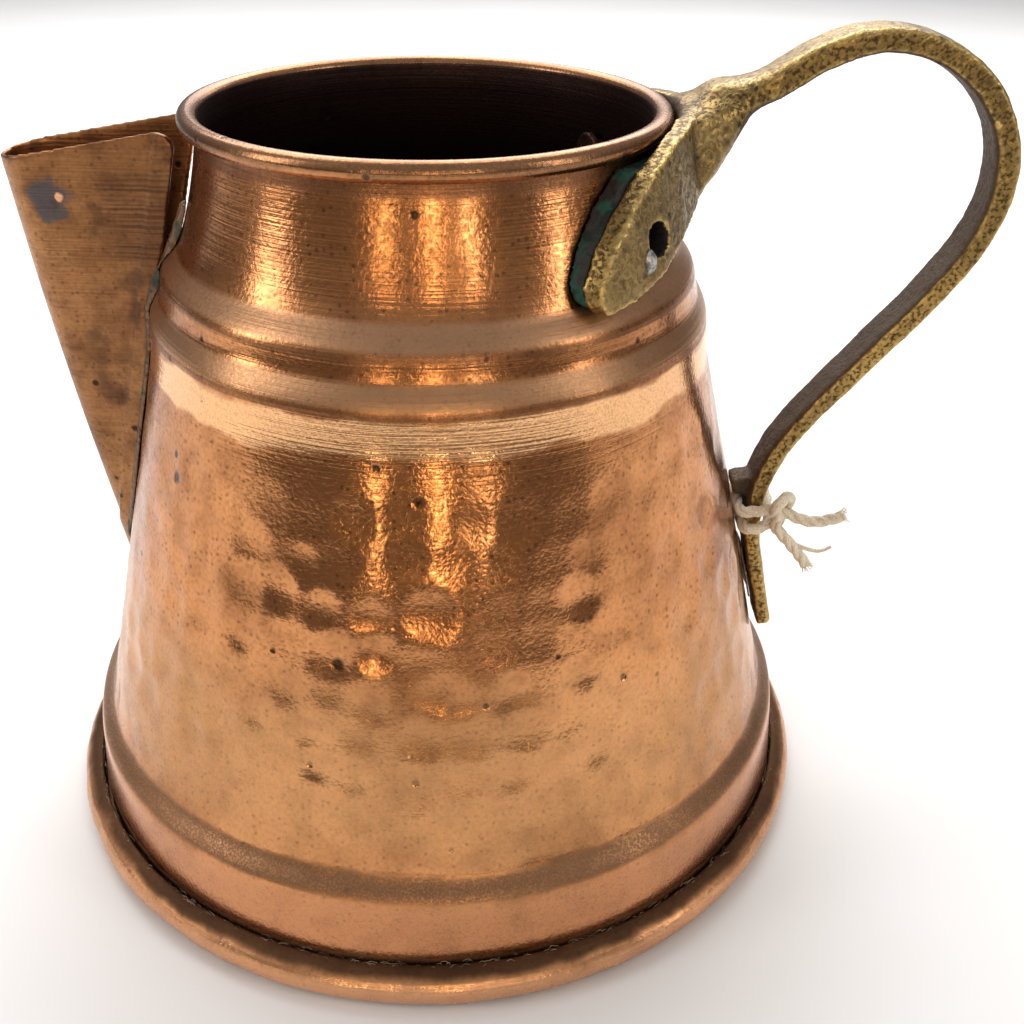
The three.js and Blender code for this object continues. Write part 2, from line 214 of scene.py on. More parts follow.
long_end = [(72.6, -8.7, 56.7), (70.3, -8.4, 55.6), (68.0, -8.0, 54.9), (65.6, -7.4, 55.0)]
first_turn = [
    (63.3, -6.6, 55.6),
    (60.6, -6.0, 56.0),
    (57.6, -5.5, 55.3),
    (55.3, -4.7, 54.9),
    (55.1, -0.5, 55.1),
    (55.6, 4.4, 55.2),
    (58.2, 5.4, 54.9),
    (60.7, 4.6, 54.3),
    (61.0, 0.2, 53.5),
    (60.5, -4.5, 52.6),
]
second_turn = [
    (58.4, -5.6, 51.7),
    (56.2, -4.9, 51.6),
    (55.9, -0.5, 52.2),
    (56.0, 4.4, 52.4),
    (58.2, 5.6, 52.2),
    (60.8, 4.6, 51.8),
    (61.9, 0.2, 51.8),
    (62.2, -4.3, 53.2),
]
knot = [
    (61.6, -6.9, 55.0),
    (60.8, -7.7, 57.2),
    (62.4, -6.9, 59.0),
    (63.7, -5.0, 57.6),
    (63.0, -4.6, 54.6),
    (61.6, -6.6, 52.9),
]
short_end = [(63.1, -7.4, 51.2), (64.8, -7.8, 49.4), (66.4, -8.0, 47.5), (67.6, -8.2, 45.9)]


def smooth_route(points, step):
    """The points in millimetres joined by one smooth curve, resampled every step, in metres."""
    points = [Vector(p) * MM for p in points]
    ends = [2 * points[0] - points[1], *points, 2 * points[-1] - points[-2]]
    fine = []
    for before, start, stop, after in zip(ends, ends[1:], ends[2:], ends[3:]):
        for i in range(24):
            t = i / 24
            bend = (2 * before - 5 * start + 4 * stop - after) * t * t
            turn = (3 * start - before - 3 * stop + after) * t * t * t
            fine.append(0.5 * (2 * start + (stop - before) * t + bend + turn))
    fine.append(points[-1])
    route = [fine[0]]
    travelled = 0.0
    for start, stop in zip(fine, fine[1:]):
        travelled += (stop - start).length
        if travelled >= step * MM:
            route.append(stop)
            travelled = 0.0
    return route


def frames_along(route):
    """At each point of a route, two directions square to it that don't twist."""
    side = Vector((0.31, 0.2, 0.93))
    frames = []
    for i in range(len(route)):
        along = (route[min(i + 1, len(route) - 1)] - route[max(i - 1, 0)]).normalized()
        side = (side - along * side.dot(along)).normalized()
        frames.append((side, along.cross(side)))
    return frames


def add_tube(mesh, route, radius, sides):
    """Adds a closed tube along route to a bmesh. radius is a function of 0..1 along it."""
    rings = []
    for i, (centre, (side, lift)) in enumerate(zip(route, frames_along(route))):
        r = radius(i / (len(route) - 1))
        turn = [2 * math.pi * k / sides for k in range(sides)]
        rings.append(
            [mesh.verts.new(centre + side * r * math.cos(a) + lift * r * math.sin(a)) for a in turn]
        )
    for low, high in zip(rings, rings[1:]):
        for k in range(sides):
            mesh.faces.new((low[k], low[(k + 1) % sides], high[(k + 1) % sides], high[k]))
    mesh.faces.new(rings[0][::-1])
    mesh.faces.new(rings[-1])


def finished(name, mesh, materials):
    """A bmesh as an object of that name, with its materials, riding on the jug."""
    data = bpy.data.meshes.new(name)
    bmesh.ops.recalc_face_normals(mesh, faces=mesh.faces)
    mesh.to_mesh(data)
    mesh.free()
    for material in materials:
        data.materials.append(material)
    for polygon in data.polygons:
        polygon.use_smooth = True
    made = bpy.data.objects.new(name, data)
    bpy.context.collection.objects.link(made)
    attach(made, "root")
    return made


cotton, tree, shader = surface(
    "cotton_twine", Roughness=0.95, Sheen_Weight=0.35, Sheen_Roughness=0.5
)
dirt = use_group(tree, blotches, Size=260.0, Low=0.45, High=0.75)["Mask"]
fluff = use_group(tree, blotches, Size=4200.0, Detail=2.0, Low=0.3, High=0.7)["Mask"]
clean = blend_colours(tree, fluff, (0.74, 0.62, 0.44, 1), (0.98, 0.90, 0.74, 1))
tree.links.new(
    blend_colours(tree, combine(tree, "MULTIPLY", dirt, 0.25), clean, (0.45, 0.33, 0.21, 1)),
    shader.inputs["Base Color"],
)
fibres = put(tree, "ShaderNodeBump", {"Height": fluff, "Strength": 0.7, "Distance": 0.00015})
tree.links.new(fibres.outputs["Normal"], shader.inputs["Normal"])

route = smooth_route(long_end + first_turn + second_turn + knot + short_end, TWINE_STEP)
route_frames = frames_along(route)
twine_mesh = bmesh.new()
for strand in range(STRANDS):
    line = []
    for i, (centre, (side, lift)) in enumerate(zip(route, route_frames)):
        turn = 2 * math.pi * (i * TWINE_STEP / STRAND_LAY + strand / STRANDS)
        slack = STRAND_OFFSET + 0.05 * noise.noise(centre * 900 + Vector((strand, 0, 0)))
        line.append(centre + (side * math.cos(turn) + lift * math.sin(turn)) * slack * MM)
    add_tube(twine_mesh, line, lambda t: STRAND_RADIUS * MM, 9)
twine = finished("cotton_string", twine_mesh, [cotton])


def frayed_end(name, tip, out, count, reach, spread, seed):
    """Loose yarn ends that fan out from the cut tip of the twine, in millimetres."""
    draw = random.Random(seed)
    mesh = bmesh.new()
    tip = Vector(tip)
    out = Vector(out).normalized()
    for _ in range(count):
        stray = Vector([draw.gauss(0, 1) for _ in range(3)])
        stray = (stray - out * stray.dot(out)).normalized()
        start = tip + stray * draw.uniform(0, 0.75) - out * 1.2
        length = reach * draw.uniform(0.6, 1.15)
        bend = Vector([draw.uniform(-0.3, 0.3) for _ in range(3)])
        points = [
            start,
            start + out * 0.45 * length + stray * spread * 0.25 * length,
            start + out * 0.95 * length + (stray * spread + bend) * 0.75 * length,
        ]
        thick = draw.uniform(0.09, 0.2) * MM
        add_tube(mesh, smooth_route(points, 0.3), lambda t: thick * (1 - 0.55 * t), 5)
    return finished(name, mesh, [cotton])


fray_long = frayed_end("string_fray_long", (72.5, -8.7, 56.6), (0.9, -0.1, 0.3), 34, 2.2, 0.42, 5)
fray_short = frayed_end("string_fray_short", (67.5, -8.2, 46.1), (0.6, -0.1, -0.75), 34, 2.8, 0.4, 9)
stray_mesh = bmesh.new()
stray_line = [
    (65.2, -7.9, 50.0), (66.9, -8.3, 49.5), (68.8, -8.5, 49.1), (70.3, -8.6, 49.4), (71.5, -8.6, 50.2)
]
stray_route = smooth_route(stray_line, 0.3)
add_tube(stray_mesh, stray_route, lambda t: (0.42 - 0.12 * t) * MM, 7)
stray_strand = finished("string_stray_strand", stray_mesh, [cotton])

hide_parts("string_wrap", "string_knot", "string_end_long", "string_end_short")


# ------------------------------------------------------------------ body
# One copper sheet spun to a cone with two stepped bands and a narrow neck, its top edge
# rolled over a wire. The lower half is planished with a round-faced hammer, row by row.

SHEET = 0.6
TURN_STEPS = 384
CONE_BASE, CONE_TAPER = 67.54, 0.244


def cone_radius(z):
    return CONE_BASE - CONE_TAPER * z


BODY_FACE = [
    (65.9, 0.9), (65.9, 7.4), (65.4, 13), (65.0, 18.2), (64.6, 19.4), (63.5, 20.5), (62.4, 21.5),
    (cone_radius(23), 23), (cone_radius(50), 50), (cone_radius(86), 86), (46.2, 88.5),
    (45.95, 91.4), (45.9, 92.6), (45.7, 93.3), (45.2, 94.4), (44.5, 95.6), (43.85, 96.5),
    (43.6, 97.4), (43.35, 99.0), (43.45, 99.6), (43.1, 100.4), (42.4, 101.4), (41.3, 102.6),
    (40.4, 103.6), (39.2, 106), (37.6, 111), (36.4, 116), (35.6, 120.5),
]
RIM_R, RIM_Z, RIM_TUBE = 36.45, 123.2, 1.54


def softened(outline, longest, passes=2):
    """An open outline cut into short stretches, with its corners rounded off."""
    fine = [outline[0]]
    for (r0, z0), (r1, z1) in zip(outline, outline[1:]):
        parts = max(1, math.ceil(math.hypot(r1 - r0, z1 - z0) / longest))
        fine += [(r0 + (r1 - r0) * i / parts, z0 + (z1 - z0) * i / parts) for i in range(1, parts + 1)]
    for _ in range(passes):
        middle = [
            ((a[0] + 2 * b[0] + c[0]) / 4, (a[1] + 2 * b[1] + c[1]) / 4)
            for a, b, c in zip(fine, fine[1:], fine[2:])
        ]
        fine = [fine[0], *middle, fine[-1]]
    return fine


def arc(r, z, radius, start, stop, steps):
    """Points of [radius, height] on an arc, its angles in degrees."""
    angles = [math.radians(start + (stop - start) * i / steps) for i in range(steps + 1)]
    return [(r + radius * math.cos(a), z + radius * math.sin(a)) for a in angles]


def other_face(face, thick):
    """The outline moved inwards by the sheet's thickness."""
    moved = []
    for i, (r, z) in enumerate(face):
        r0, z0 = face[max(i - 1, 0)]
        r1, z1 = face[min(i + 1, len(face) - 1)]
        along = math.hypot(r1 - r0, z1 - z0)
        moved.append((r - thick * (z1 - z0) / along, z + thick * (r1 - r0) / along))
    return moved


def turned(outline, steps, shift=None, inside_from=None):
    """A bmesh of a closed outline turned about the axis. shift(angle, r, z) moves a point in or
    out. Faces from outline point inside_from onwards take the second material."""
    mesh = bmesh.new()
    rings = []
    for r, z in outline:
        ring = []
        for i in range(steps):
            a = 2 * math.pi * i / steps
            far = r + (shift(a, r, z) if shift else 0)
            ring.append(mesh.verts.new((far * math.cos(a) * MM, far * math.sin(a) * MM, z * MM)))
        rings.append(ring)
    for k, low in enumerate(rings):
        high = rings[(k + 1) % len(rings)]
        for i in range(steps):
            j = (i + 1) % steps
            face = mesh.faces.new((low[i], low[j], high[j], high[i]))
            if inside_from is not None and k >= inside_from:
                face.material_index = 1
    return mesh


ROW_FOOT, ROW_RISE, BLOW_SPACING = 24.5, 6.6, 7.6
HAMMERED_FROM, HAMMERED_TO = 19, 84
DENT_REACH = 9  # no dent is felt further than this above or below its row
draw = random.Random(11)
hammer_rows = []
for row in range(9):
    row_z = ROW_FOOT + row * ROW_RISE
    blows = int(2 * math.pi * cone_radius(row_z) / BLOW_SPACING)
    strength = 0.46 if 2 <= row <= 6 else 0.26
    hammer_rows.append([
        (
            2 * math.pi * (i + 0.5 * (row % 2) + draw.uniform(-0.28, 0.28)) / blows,
            row_z + draw.uniform(-1.7, 1.7),
            draw.uniform(3.0, 4.6),
            strength * draw.uniform(0.15, 1.1),
        )
        for i in range(blows)
    ])


def hammered(angle, r, z):
    """How far the hammer and the hand have moved the wall at this point, in millimetres."""
    dent = 0.0
    if HAMMERED_FROM < z < HAMMERED_TO:
        for row in hammer_rows:
            if abs(row[0][1] - z) > DENT_REACH:
                continue
            for blow_angle, blow_z, size, depth in row:
                turn = (angle - blow_angle + math.pi) % (2 * math.pi) - math.pi
                if abs(turn) * 60 > 6:
                    continue
                d2 = ((turn * r) ** 2 + (z - blow_z) ** 2) / (size * size)
                if d2 < 1:
                    dent = max(dent, depth * (1 - d2))
    wave = Vector((math.cos(angle) * 2.4, math.sin(angle) * 2.4, z * 0.045))
    calm = 0.35 if z > 104 else 1.0
    return 0.3 * calm * noise.noise(wave) - dent


# Fine rings left by the spinning tool on every turned piece of copper.
spin_rings, given, result = new_group("spin_rings", {"Spacing": 2600.0, "Contrast": 0.5}, ["Lines"])
place = spin_rings.nodes.new("ShaderNodeTexCoord").outputs["Object"]
squeeze = put(spin_rings, "ShaderNodeCombineXYZ", {0: 22, 1: 22, 2: given["Spacing"]}).outputs[0]
streak = put(spin_rings, "ShaderNodeVectorMath", {0: place, 1: squeeze}, operation="MULTIPLY")
lines = put(
    spin_rings, "ShaderNodeTexNoise", {"Vector": streak.outputs[0], "Scale": 1.0, "Detail": 2.5}
)
low_edge = combine(spin_rings, "SUBTRACT", 0.5, given["Contrast"])
high_edge = combine(spin_rings, "ADD", 0.5, given["Contrast"])
spin_rings.links.new(
    stretch(spin_rings, lines.outputs["Fac"], low_edge, high_edge), result["Lines"]
)

# Small round pits and specks: Size is how many fit in a metre, Share how many of them show.
pits, given, result = new_group("pits", {"Size": 420.0, "Width": 0.25, "Share": 0.3}, ["Mask"])
place = pits.nodes.new("ShaderNodeTexCoord").outputs["Object"]
cells = put(pits, "ShaderNodeTexVoronoi", {"Vector": place, "Scale": given["Size"], "Randomness": 1.0})
depth_range = {"From Min": 0.0, "From Max": given["Width"], "To Min": 1.0, "To Max": 0.0}
spot = put(pits, "ShaderNodeMapRange", {"Value": cells.outputs["Distance"], **depth_range})
lucky = put(pits, "ShaderNodeSeparateColor", {"Color": cells.outputs["Color"]}).outputs[0]
chosen = combine(pits, "LESS_THAN", lucky, given["Share"])
pits.links.new(combine(pits, "MULTIPLY", spot.outputs[0], chosen), result["Mask"])

# A level belt of the surface between two heights, in metres, with a ragged edge.
height_band, given, result = new_group(
    "height_band", {"Low": 0.0, "High": 0.01, "Soft": 0.0005, "Ragged": 0.0, "Grain": 90.0}, ["Mask"]
)
place = height_band.nodes.new("ShaderNodeTexCoord").outputs["Object"]
height = put(height_band, "ShaderNodeSeparateXYZ", {0: place}).outputs[2]
rag = put(height_band, "ShaderNodeTexNoise", {"Vector": place, "Scale": given["Grain"], "Detail": 4.0})
rag_shift = combine(height_band, "SUBTRACT", rag.outputs["Fac"], 0.5)
rag_shift = combine(height_band, "MULTIPLY", rag_shift, given["Ragged"])
moved = combine(height_band, "ADD", height, rag_shift)
above = combine(height_band, "SUBTRACT", moved, given["Low"])
below = combine(height_band, "SUBTRACT", given["High"], moved)
nearest = combine(height_band, "MINIMUM", above, below)
soft_low = combine(height_band, "MULTIPLY", given["Soft"], -1.0)
height_band.links.new(stretch(height_band, nearest, soft_low, given["Soft"]), result["Mask"])


def worn_copper(name, rosy, brown, dark, gloss, rings=0.25, speck=0.5, rings_above=-1.0):
    """Copper in its usual state: rosy where handled, clouded brown, finely specked. Rings of
    the spinning tool are plain above the height rings_above, in metres, and faint below it.
    Returns the material, its tree, shader, and the colour, roughness and height so far."""
    material, tree, shader = surface(name, Metallic=1.0)
    wide = use_group(tree, blotches, Size=34.0, Detail=5.0, Low=0.38, High=0.66)["Mask"]
    small = use_group(tree, blotches, Size=210.0, Detail=6.0, Low=0.42, High=0.68)["Mask"]
    grain = use_group(tree, blotches, Size=1500.0, Detail=2.0, Low=0.35, High=0.75)["Mask"]
    lines = use_group(tree, spin_rings, Contrast=rings)["Lines"]
    height = put(tree, "ShaderNodeTexCoord").outputs["Object"]
    height = put(tree, "ShaderNodeSeparateXYZ", {0: height}).outputs[2]
    ringed = stretch(tree, height, rings_above - 0.006, rings_above, 0.12, 1.0)
    lines = combine(tree, "MULTIPLY", lines, ringed)
    specks = use_group(tree, pits, Size=950.0, Width=0.40, Share=0.4)["Mask"]
    dots = use_group(tree, pits, Size=190.0, Width=0.14, Share=0.22)["Mask"]
    scars = use_group(tree, pits, Size=75.0, Width=0.1, Share=0.3)["Mask"]
    dots = combine(tree, "MULTIPLY", combine(tree, "MAXIMUM", dots, scars), 2.2, clamp=True)
    wide = combine(tree, "MULTIPLY", wide, 0.55)
    small = combine(tree, "MULTIPLY", small, 0.35)
    cloud = combine(tree, "ADD", wide, small)
    cloud = combine(tree, "ADD", cloud, combine(tree, "MULTIPLY", lines, 0.16), clamp=True)
    colour = blend_colours(tree, cloud, rosy, brown)
    colour = blend_colours(tree, combine(tree, "MULTIPLY", grain, 0.22), colour, dark)
    colour = blend_colours(tree, combine(tree, "MULTIPLY", specks, speck), colour, dark)
    colour = blend_colours(tree, combine(tree, "MULTIPLY", dots, 0.9), colour, (0.03, 0.018, 0.012, 1))
    rough = combine(tree, "ADD", combine(tree, "MULTIPLY", cloud, 0.12), gloss)
    rough = combine(tree, "ADD", rough, combine(tree, "MULTIPLY", grain, 0.08))
    grooves = combine(tree, "MULTIPLY", lines, 0.5)
    relief = combine(tree, "ADD", grooves, combine(tree, "MULTIPLY", grain, 0.35))
    relief = combine(tree, "SUBTRACT", relief, combine(tree, "MULTIPLY", dots, 2.0))
    return material, tree, shader, colour, rough, relief


def close_up(tree, shader, colour, rough, relief, depth):
    """Joins the finished colour, roughness and relief to the shader."""
    tree.links.new(colour, shader.inputs["Base Color"])
    tree.links.new(rough, shader.inputs["Roughness"])
    bump = put(tree, "ShaderNodeBump", {"Height": relief, "Strength": 0.6, "Distance": depth})
    tree.links.new(bump.outputs["Normal"], shader.inputs["Normal"])


def belted(tree, colour, rough, belts, cover):
    """Lays belts of another finish over the metal, each with its lowest and highest point,
    softness, raggedness, colour, strength and roughness. cover(strength) is its opacity."""
    for (low, high), soft, ragged, tint, strength, dullness in belts:
        belt = use_group(
            tree, height_band, Low=low * MM, High=high * MM, Soft=soft * MM, Ragged=ragged * MM
        )["Mask"]
        belt = combine(tree, "MULTIPLY", belt, cover(strength))
        colour = blend_colours(tree, belt, colour, tint)
        rough = put(tree, "ShaderNodeMix", {0: belt, 2: rough, 3: dullness}).outputs[0]
    return colour, rough


body_copper, tree, shader, colour, rough, relief = worn_copper(
    "body_copper", (0.66, 0.29, 0.115, 1), (0.29, 0.115, 0.045, 1), (0.09, 0.036, 0.02, 1),
    gloss=0.13, rings=0.22, speck=0.75, rings_above=0.086,
)
sand = use_group(tree, blotches, Size=3200.0, Detail=2.0, Low=0.40, High=0.68)["Mask"]
BODY_BELTS = [
    ((22.5, 50), 9.0, 14.0, (0.66, 0.38, 0.17, 1), 0.4, 0.22),
    ((86.2, 91.6), 0.5, 5.0, (1.0, 0.58, 0.29, 1), 0.8, 0.16),
    ((93.2, 96.4), 0.5, 0.6, (0.40, 0.235, 0.13, 1), 0.8, 0.46),
    ((100.6, 103.8), 0.5, 0.6, (0.42, 0.25, 0.145, 1), 0.75, 0.5),
    # Painted shade: the next two belts are thin dark lines beneath the two beads.
    ((91.9, 93.0), 0.25, 0.4, (0.11, 0.05, 0.03, 1), 0.6, 0.45),
    ((99.3, 100.2), 0.25, 0.4, (0.10, 0.05, 0.03, 1), 0.6, 0.45),
    # Painted dark reflection: the step at the foot of the cone is painted dull dark brown for the dark
    # room it mirrors.
    ((18.8, 22.2), 0.6, 1.4, (0.19, 0.105, 0.06, 1), 0.9, 0.55),
    ((8.0, 18.2), 1.2, 2.0, (0.85, 0.41, 0.21, 1), 0.5, 0.22),
    ((-1.0, 7.8), 0.8, 1.6, (0.035, 0.02, 0.014, 1), 0.95, 0.75),
    ((119.4, 121.8), 0.6, 0.6, (0.12, 0.055, 0.035, 1), 0.7, 0.4),
    ((122.6, 126.0), 0.6, 2.6, (0.17, 0.10, 0.06, 1), 0.7, 0.3),
]
colour, rough = belted(
    tree, colour, rough, BODY_BELTS,
    lambda strength: stretch(tree, sand, 0.0, 1.0, strength, strength * 0.6),
)
close_up(tree, shader, colour, rough, relief, 0.00006)

inner_copper, tree, shader, colour, rough, relief = worn_copper(
    "inner_copper", (0.085, 0.042, 0.034, 1), (0.03, 0.018, 0.016, 1), (0.012, 0.008, 0.007, 1),
    gloss=0.42,
)
close_up(tree, shader, colour, rough, relief, 0.00008)


def cut_by(target, cutter_mesh, how="DIFFERENCE"):
    """Cuts, joins or keeps what the cutter shares with the target, and drops the cutter."""
    data = bpy.data.meshes.new("cutter")
    bmesh.ops.recalc_face_normals(cutter_mesh, faces=cutter_mesh.faces)
    cutter_mesh.to_mesh(data)
    cutter_mesh.free()
    cutter = bpy.data.objects.new("cutter", data)
    bpy.context.collection.objects.link(cutter)
    boolean = target.modifiers.new("cut", "BOOLEAN")
    boolean.operation = how
    boolean.solver = "EXACT"
    boolean.object = cutter
    bake_modifiers(target)
    bpy.data.objects.remove(cutter)


def bake_modifiers(target):
    """Makes the target's modifiers part of its mesh."""
    graph = bpy.context.evaluated_depsgraph_get()
    made = bpy.data.meshes.new_from_object(target.evaluated_get(graph))
    target.modifiers.clear()
    old = target.data
    target.data = made
    bpy.data.meshes.remove(old)


def slab(outline, near, far, place):
    """A bmesh prism: outline points go through place(u, v, depth) at the two depths."""
    mesh = bmesh.new()
    low = [mesh.verts.new(place(u, v, near)) for u, v in outline]
    high = [mesh.verts.new(place(u, v, far)) for u, v in outline]
    mesh.faces.new(low)
    mesh.faces.new(high[::-1])
    for i in range(len(outline)):
        j = (i + 1) % len(outline)
        mesh.faces.new((low[i], high[i], high[j], low[j]))
    return mesh


RIVET_SIDE, RIVET_Z, RIVET_HOLE = 6.8, 111.6, 2.4
WING_TURN = math.radians(28)
DRILL_FROM, DRILL_TO = 25, 55


def rivet_drill(side):
    """The hole through a wing and the neck behind it."""
    ring = [
        (-side * RIVET_SIDE + RIVET_HOLE * math.cos(a), RIVET_Z + RIVET_HOLE * math.sin(a))
        for a in [2 * math.pi * i / 32 for i in range(32)]
    ]
    turn = Matrix.Rotation(-side * WING_TURN, 4, "Z")
    return slab(ring, DRILL_FROM, DRILL_TO, lambda u, v, deep: turn @ (Vector((deep, u, v)) * MM))


face = softened(BODY_FACE, 1.1)
curl = arc(RIM_R, RIM_Z, RIM_TUBE, 180, -108, 30)
curl_inside = arc(RIM_R, RIM_Z, RIM_TUBE - SHEET, 180, -108, 22)
inner_face = other_face(face, SHEET)
outline = [*face, *curl_inside, *curl[::-1], *inner_face[::-1]]
inner_start = len(face) + len(curl_inside) + len(curl) - 3
body = finished(
    "body_spun", turned(outline, TURN_STEPS, hammered, inner_start), [body_copper, inner_copper]
)
# The spout opens into the body through one tapered hole in the wall behind it.
pour_hole = [(-2.6, 62), (2.6, 62), (4.6, 106), (3.2, 109), (-3.2, 109), (-4.6, 106)]
cut_by(body, slab(pour_hole, -70, -30, lambda u, v, deep: Vector((deep, u, v)) * MM))
cut_by(body, rivet_drill(1))
cut_by(body, rivet_drill(-1))
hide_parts("body_shell")


# ------------------------------------------------------------------ base and foot roll
# A flat copper disc turned up and over a wire into a round bead, which grips the body's
# bottom edge. Rubbed bright on the outside, brown on top, dark in the joint, with lint in it.

FOOT_R, FOOT_Z, FOOT_TUBE = 66.4, 3.6, 3.6


def foot_wobble(angle, r, z):
    wave = Vector((math.cos(angle) * 5, math.sin(angle) * 5, z * 0.2))
    return 0.16 * noise.noise(wave) + 0.1 * noise.noise(wave * 4) if r > 60 else 0.0


foot_outer = arc(FOOT_R, FOOT_Z, FOOT_TUBE, -90, 90, 36)
foot_inner = arc(FOOT_R, FOOT_Z, FOOT_TUBE - SHEET, 90, -90, 24)
disc_steps = [0.4, 8, 20, 34, 48, 58]
disc_under = [(r, 0.0) for r in disc_steps]
disc_top = [(r, SHEET) for r in disc_steps[::-1]]
base_outline = [*disc_under, *foot_outer, *foot_inner, *disc_top]
foot_copper, tree, shader, colour, rough, relief = worn_copper(
    "foot_copper", (0.66, 0.32, 0.14, 1), (0.27, 0.12, 0.055, 1), (0.10, 0.05, 0.03, 1),
    gloss=0.24, rings=0.3,
)
FOOT_BELTS = [
    ((0.4, 5.4), 1.4, 4.0, (0.95, 0.52, 0.30, 1), 0.45, 0.2),
    ((6.3, 8.0), 0.6, 2.2, (0.05, 0.028, 0.018, 1), 0.85, 0.75),
    ((-1.0, 0.9), 0.4, 1.0, (0.14, 0.08, 0.05, 1), 0.8, 0.5),
]
colour, rough = belted(tree, colour, rough, FOOT_BELTS, lambda strength: strength)
close_up(tree, shader, colour, rough, relief, 0.0001)
base_mesh = turned(base_outline, TURN_STEPS, foot_wobble)
base = finished("base_and_foot", base_mesh, [foot_copper])
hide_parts("base_plate")

lint_wool, tree, shader = surface("lint", Roughness=0.95)
fluff = use_group(tree, blotches, Size=500.0, Low=0.4, High=0.6)["Mask"]
tree.links.new(
    blend_colours(tree, fluff, (0.10, 0.065, 0.042, 1), (0.34, 0.25, 0.17, 1)),
    shader.inputs["Base Color"],
)
LINT_FIBRES, LINT_RADIUS = 520, 0.065
draw = random.Random(23)
lint_mesh = bmesh.new()
for _ in range(LINT_FIBRES):
    a = draw.uniform(0, 2 * math.pi)
    r = draw.uniform(65.9, 67.0)
    start = Vector((r * math.cos(a), r * math.sin(a), draw.uniform(6.7, 7.3)))
    round_way = Vector((-math.sin(a), math.cos(a), 0)) * draw.choice([-1, 1])
    out_way = Vector((math.cos(a), math.sin(a), 0))
    reach = draw.uniform(0.5, 1.9)
    points = [
        start,
        start + round_way * reach * 0.5 + Vector((0, 0, draw.uniform(0.2, 0.6))),
        start + round_way * reach + out_way * draw.uniform(-0.1, 0.9) * reach * 0.5
        + Vector((0, 0, draw.uniform(-0.1, 0.8))),
    ]
    add_tube(lint_mesh, smooth_route(points, 0.3), lambda t: LINT_RADIUS * (1 - 0.5 * t) * MM, 3)
lint = finished("crevice_lint", lint_mesh, [lint_wool])


# ------------------------------------------------------------------ wires
# Round iron wires closed up inside the rim and the foot roll, where they stiffen the edges.

wire_iron, tree, shader = surface("wire_iron", Metallic=1.0)
rust = use_group(tree, blotches, Size=400.0, Low=0.45, High=0.6)["Mask"]
close_up(
    tree, shader,
    blend_colours(tree, rust, (0.20, 0.19, 0.18, 1), (0.20, 0.09, 0.04, 1)),
    stretch(tree, rust, 0.0, 1.0, 0.4, 0.85), rust, 0.0001,
)
for node_name in ("rim_wire", "foot_wire"):
    for place_in_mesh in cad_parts[node_name].material_slots:
        place_in_mesh.link = "OBJECT"
        place_in_mesh.material = wire_iron


# ------------------------------------------------------------------ spout
# One copper sheet folded to a deep trough with a round nose, open at the top. Its two free
# edges are doubled into a hem and soft-soldered down the body. Darker and more stained.

SPOUT_TOP, NOSE_TOP, NOSE_X, SPOUT_FOOT = 121, 115.8, 67.8, 38
NOSE_LEAN, NOSE_CURVE = 0.09, 0.0006
HALF_TOP, HALF_FOOT = 6.6, 3.2
HEM_WIDTH, SEAT_GAP = 3.2, 0.3
BLOCK_LOW, BLOCK_HIGH = 20, 128  # the rough block that the spout is cut from
MOUTH_CORNER, MOUTH_BACK = 41, 38.5  # where the mouth's edge turns down, and where it would end


def spout_half(z):
    return HALF_FOOT + (HALF_TOP - HALF_FOOT) * (z - SPOUT_FOOT) / (SPOUT_TOP - SPOUT_FOOT)


def nose_x(z):
    drop = NOSE_TOP - z
    return -NOSE_X + NOSE_LEAN * drop + NOSE_CURVE * drop * abs(drop)


def trough(inset, low, high):
    """Solid block with the trough's outline, as far in as the jug's axis."""
    mesh = bmesh.new()
    levels = []
    for k in range(31):
        z = low + (high - low) * k / 30
        half = spout_half(z) - inset
        middle = nose_x(z) + spout_half(z)
        turn = [math.pi / 2 + math.pi * i / 28 for i in range(29)]
        nose = [(middle + half * math.cos(a), half * math.sin(a)) for a in turn]
        ring = [(-10, half), *nose, (-10, -half)]
        levels.append([mesh.verts.new(Vector((x, y, z)) * MM) for x, y in ring])
    for a, b in zip(levels, levels[1:]):
        for i in range(len(a)):
            j = (i + 1) % len(a)
            mesh.faces.new((a[i], b[i], b[j], a[j]))
    mesh.faces.new(levels[0])
    mesh.faces.new(levels[-1][::-1])
    return mesh


def plug(outline):
    """A turned solid whose outline starts and ends on the axis."""
    return turned([(0.01, outline[0][1]), *outline, (0.01, outline[-1][1])], 160)


def cone_plug(clear, low, high):
    return plug([(cone_radius(low) + clear, low), (cone_radius(high) + clear, high)])


spout_copper, tree, shader, colour, rough, relief = worn_copper(
    "spout_copper", (0.50, 0.24, 0.10, 1), (0.20, 0.09, 0.04, 1), (0.07, 0.035, 0.02, 1),
    gloss=0.3, rings=0.2, speck=0.7,
)
spout_place = tree.nodes.new("ShaderNodeTexCoord").outputs["Object"]


def round_stain(tree, place, centre, radius, ragged):
    """A stain round a point: 1 in its middle, 0 outside, all in millimetres."""
    off = put(tree, "ShaderNodeVectorMath", {0: place, 1: Vector(centre) * MM}, operation="DISTANCE")
    rag = put(tree, "ShaderNodeTexNoise", {"Vector": place, "Scale": 260.0, "Detail": 4.0}).outputs["Fac"]
    edge = combine(tree, "MULTIPLY", combine(tree, "SUBTRACT", rag, 0.5), ragged * MM)
    reach = combine(tree, "ADD", off.outputs["Value"], edge)
    return stretch(tree, reach, radius * 1.25 * MM, radius * 0.7 * MM)


